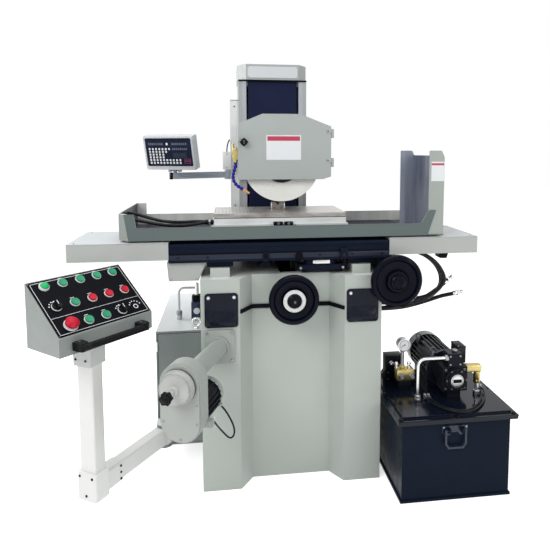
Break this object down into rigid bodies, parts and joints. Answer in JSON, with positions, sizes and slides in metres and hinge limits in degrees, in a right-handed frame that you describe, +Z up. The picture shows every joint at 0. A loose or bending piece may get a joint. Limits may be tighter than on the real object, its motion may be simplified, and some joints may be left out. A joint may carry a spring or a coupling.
{
  "type": "surface grinder",
  "caption": "Column surface grinder with a magnetic chuck, guarded wheel, splash trough, push-button pendant, digital readout and a separate hydraulic tank with its pump",
  "frame": {"origin": "middle of the base casting's foot, on the floor", "axes": "+X to the operator's right, +Y away from the operator towards the column, +Z up"},
  "size_m": [1.8621, 1.4835, 1.868],
  "materials": {
    "machine_paint": "satin grey-green enamel on castings",
    "cover_paint": "satin pale grey enamel on sheet metal",
    "navy_paint": "semi-gloss dark navy enamel",
    "white_paint": "satin white powder coat",
    "tank_paint": "gloss black enamel",
    "motor_paint": "semi-gloss black enamel on finned casting",
    "ground_steel": "ground steel with fine scratches",
    "dark_steel": "oiled turned steel",
    "cast_table": "pale painted cast iron",
    "black_plastic": "gloss black phenolic",
    "green_plastic": "green button caps",
    "red_plastic": "red button caps",
    "wheel_black": "gloss black enamelled handwheel with a bright hub ring",
    "rubber": "matt black rubber",
    "abrasive": "coarse off-white vitrified abrasive",
    "brass": "unpolished brass",
    "blue_plastic": "blue jointed coolant hose with an orange nozzle",
    "scale_white": "white moulded covers",
    "readout_grey": "painted aluminium case with a dark keypad"
  },
  "bodies": {
    "base": {"base_casting": "machine_paint", "rubber_covers": "rubber", "column": "machine_paint", "column_cap": "machine_paint", "way_cover": "navy_paint", "electric_cabinet": "cover_paint", "oil_fittings": "ground_steel", "scale_cover": "scale_white", "elevating_tube": "machine_paint", "belt_housing": "machine_paint", "elevating_motor": "motor_paint", "motor_cable": "rubber", "hydraulic_hoses": "rubber", "tank": "tank_paint", "tank_lid": "tank_paint", "pump_motor": "motor_paint", "pump": "motor_paint", "hydraulic_fittings": "brass"},
    "tank_bail": {"tank_bail": "tank_paint"},
    "elevating_screw": {"elevating_screw": "dark_steel"},
    "elevating_dial": {"elevating_dial": "cover_paint", "star_knob": "black_plastic"},
    "pendant_arm": {"pendant_arm": "white_paint"},
    "pendant": {"pendant_box": "cover_paint", "pendant_handle": "black_plastic"},
    "stop_button": {"stop_button": "red_plastic"},
    "mode_selector": {"mode_selector": "black_plastic"},
    "speed_selector": {"speed_selector": "black_plastic"},
    "saddle": {"saddle": "navy_paint", "saddle_covers": "cover_paint"},
    "table": {"table": "cast_table", "trough": "machine_paint", "splash_guard": "machine_paint", "magnetic_chuck": "ground_steel", "trip_dogs": "black_plastic", "chuck_cable": "rubber"},
    "head": {"wheelhead": "machine_paint", "wheel_guard": "machine_paint", "coolant_valve": "brass", "coolant_hose": "blue_plastic", "reader_head": "scale_white"},
    "guard_door": {"guard_door": "machine_paint"},
    "door_knob": {"door_knob": "black_plastic"},
    "coolant_lever": {"coolant_lever": "brass"},
    "spindle": {"spindle": "dark_steel", "grinding_wheel": "abrasive"},
    "cross_handwheel": {"cross_handwheel": "wheel_black"},
    "table_handwheel": {"table_handwheel": "wheel_black"},
    "readout_arm": {"readout_arm": "ground_steel"},
    "readout": {"readout": "readout_grey"},
    "push_button_1": {"push_button_1": "green_plastic"},
    "push_button_2": {"push_button_2": "green_plastic"},
    "push_button_3": {"push_button_3": "green_plastic"},
    "push_button_4": {"push_button_4": "red_plastic"},
    "push_button_5": {"push_button_5": "red_plastic"},
    "push_button_6": {"push_button_6": "red_plastic"},
    "push_button_7": {"push_button_7": "green_plastic"},
    "push_button_8": {"push_button_8": "green_plastic"},
    "push_button_9": {"push_button_9": "green_plastic"},
    "push_button_10": {"push_button_10": "green_plastic"}
  },
  "joints": [
    {"name": "saddle_cross", "type": "slide", "parent": "base", "child": "saddle", "axis": [0, 1, 0], "range_m": [-0.24, 0.02]},
    {"name": "table_traverse", "type": "slide", "parent": "saddle", "child": "table", "axis": [1, 0, 0], "range_m": [-0.3, 0.35]},
    {"name": "head_lift", "type": "slide", "parent": "base", "child": "head", "axis": [0, 0, 1], "range_m": [-0.045, 0.2]},
    {"name": "cross_wheel_turn", "type": "hinge", "parent": "base", "child": "cross_handwheel", "pos_m": [0, -0.512, 0.818], "axis": [0, 1, 0], "continuous": true},
    {"name": "table_wheel_turn", "type": "hinge", "parent": "saddle", "child": "table_handwheel", "pos_m": [0.43, -0.526, 0.886], "axis": [0, 1, 0], "continuous": true},
    {"name": "elevating_screw_turn", "type": "hinge", "parent": "base", "child": "elevating_screw", "pos_m": [-0.028, 0.22, 1.3], "axis": [0, 0, 1], "continuous": true},
    {"name": "elevating_dial_turn", "type": "hinge", "parent": "base", "child": "elevating_dial", "pos_m": [-0.43744, -0.87212, 0.627], "axis": [-0.342, -0.9397, 0], "continuous": true},
    {"name": "spindle_spin", "type": "hinge", "parent": "head", "child": "spindle", "pos_m": [-0.02, -0.216, 1.373], "axis": [0, 1, 0], "continuous": true},
    {"name": "guard_door_swing", "type": "hinge", "parent": "head", "child": "guard_door", "pos_m": [0.208, -0.272, 1.445], "axis": [0, 0, 1], "range_deg": [0, 90]},
    {"name": "door_knob_turn", "type": "hinge", "parent": "guard_door", "child": "door_knob", "pos_m": [-0.191, -0.28, 1.466], "axis": [0, 1, 0], "range_deg": [0, 90]},
    {"name": "coolant_lever_turn", "type": "hinge", "parent": "head", "child": "coolant_lever", "pos_m": [-0.227, -0.21, 1.436], "axis": [0, 0, -1], "range_deg": [0, 90]},
    {"name": "readout_arm_swing", "type": "hinge", "parent": "base", "child": "readout_arm", "pos_m": [-0.259, 0.224, 1.303], "axis": [0, 0, 1], "range_deg": [-30, 30]},
    {"name": "readout_tilt", "type": "hinge", "parent": "readout_arm", "child": "readout", "pos_m": [-0.523, 0.092, 1.333], "axis": [0.9272, -0.3746, 0], "range_deg": [-25, 15]},
    {"name": "pendant_arm_swing", "type": "hinge", "parent": "base", "child": "pendant_arm", "pos_m": [-0.554, -0.325, 0.178], "axis": [0, 0, 1], "range_deg": [-45, 5]},
    {"name": "pendant_swivel", "type": "hinge", "parent": "pendant_arm", "child": "pendant", "pos_m": [-0.77551, -0.67948, 0.7], "axis": [0, 0, 1], "range_deg": [-40, 40]},
    {"name": "tank_bail_swing", "type": "hinge", "parent": "base", "child": "tank_bail", "pos_m": [0.6405, -0.697, 0.299], "axis": [-1, 0, 0], "range_deg": [0, 90]},
    {"name": "push_1", "type": "slide", "parent": "pendant", "child": "push_button_1", "axis": [-0.4894, 0.4254, -0.7612], "range_m": [0, 0.004], "stiffness_N_per_m": 600, "springref_m": -0.004},
    {"name": "push_2", "type": "slide", "parent": "pendant", "child": "push_button_2", "axis": [-0.4894, 0.4254, -0.7612], "range_m": [0, 0.004], "stiffness_N_per_m": 600, "springref_m": -0.004},
    {"name": "push_3", "type": "slide", "parent": "pendant", "child": "push_button_3", "axis": [-0.4894, 0.4254, -0.7612], "range_m": [0, 0.004], "stiffness_N_per_m": 600, "springref_m": -0.004},
    {"name": "push_4", "type": "slide", "parent": "pendant", "child": "push_button_4", "axis": [-0.4894, 0.4254, -0.7612], "range_m": [0, 0.004], "stiffness_N_per_m": 600, "springref_m": -0.004},
    {"name": "push_5", "type": "slide", "parent": "pendant", "child": "push_button_5", "axis": [-0.4894, 0.4254, -0.7612], "range_m": [0, 0.004], "stiffness_N_per_m": 600, "springref_m": -0.004},
    {"name": "push_6", "type": "slide", "parent": "pendant", "child": "push_button_6", "axis": [-0.4894, 0.4254, -0.7612], "range_m": [0, 0.004], "stiffness_N_per_m": 600, "springref_m": -0.004},
    {"name": "push_7", "type": "slide", "parent": "pendant", "child": "push_button_7", "axis": [-0.4894, 0.4254, -0.7612], "range_m": [0, 0.004], "stiffness_N_per_m": 600, "springref_m": -0.004},
    {"name": "push_8", "type": "slide", "parent": "pendant", "child": "push_button_8", "axis": [-0.4894, 0.4254, -0.7612], "range_m": [0, 0.004], "stiffness_N_per_m": 600, "springref_m": -0.004},
    {"name": "push_9", "type": "slide", "parent": "pendant", "child": "push_button_9", "axis": [-0.4894, 0.4254, -0.7612], "range_m": [0, 0.004], "stiffness_N_per_m": 600, "springref_m": -0.004},
    {"name": "push_10", "type": "slide", "parent": "pendant", "child": "push_button_10", "axis": [-0.4894, 0.4254, -0.7612], "range_m": [0, 0.004], "stiffness_N_per_m": 600, "springref_m": -0.004},
    {"name": "stop_push", "type": "slide", "parent": "pendant", "child": "stop_button", "axis": [-0.4894, 0.4254, -0.7612], "range_m": [0, 0.005], "stiffness_N_per_m": 900, "springref_m": -0.006},
    {"name": "mode_turn", "type": "hinge", "parent": "pendant", "child": "mode_selector", "pos_m": [-0.85166, -0.78554, 0.89341], "axis": [0.4894, -0.4254, 0.7612], "range_deg": [-45, 45]},
    {"name": "speed_turn", "type": "hinge", "parent": "pendant", "child": "speed_selector", "pos_m": [-0.65775, -0.65994, 0.83894], "axis": [0.4894, -0.4254, 0.7612], "range_deg": [-45, 45]}
  ],
  "couplings": [
    {"joint": "cross_wheel_turn", "follows": "saddle_cross", "rad_per_m": 628.32},
    {"joint": "table_wheel_turn", "follows": "table_traverse", "rad_per_m": 104.72},
    {"joint": "elevating_screw_turn", "follows": "head_lift", "rad_per_m": -628.32},
    {"joint": "elevating_dial_turn", "follows": "head_lift", "rad_per_m": 628.32}
  ]
}
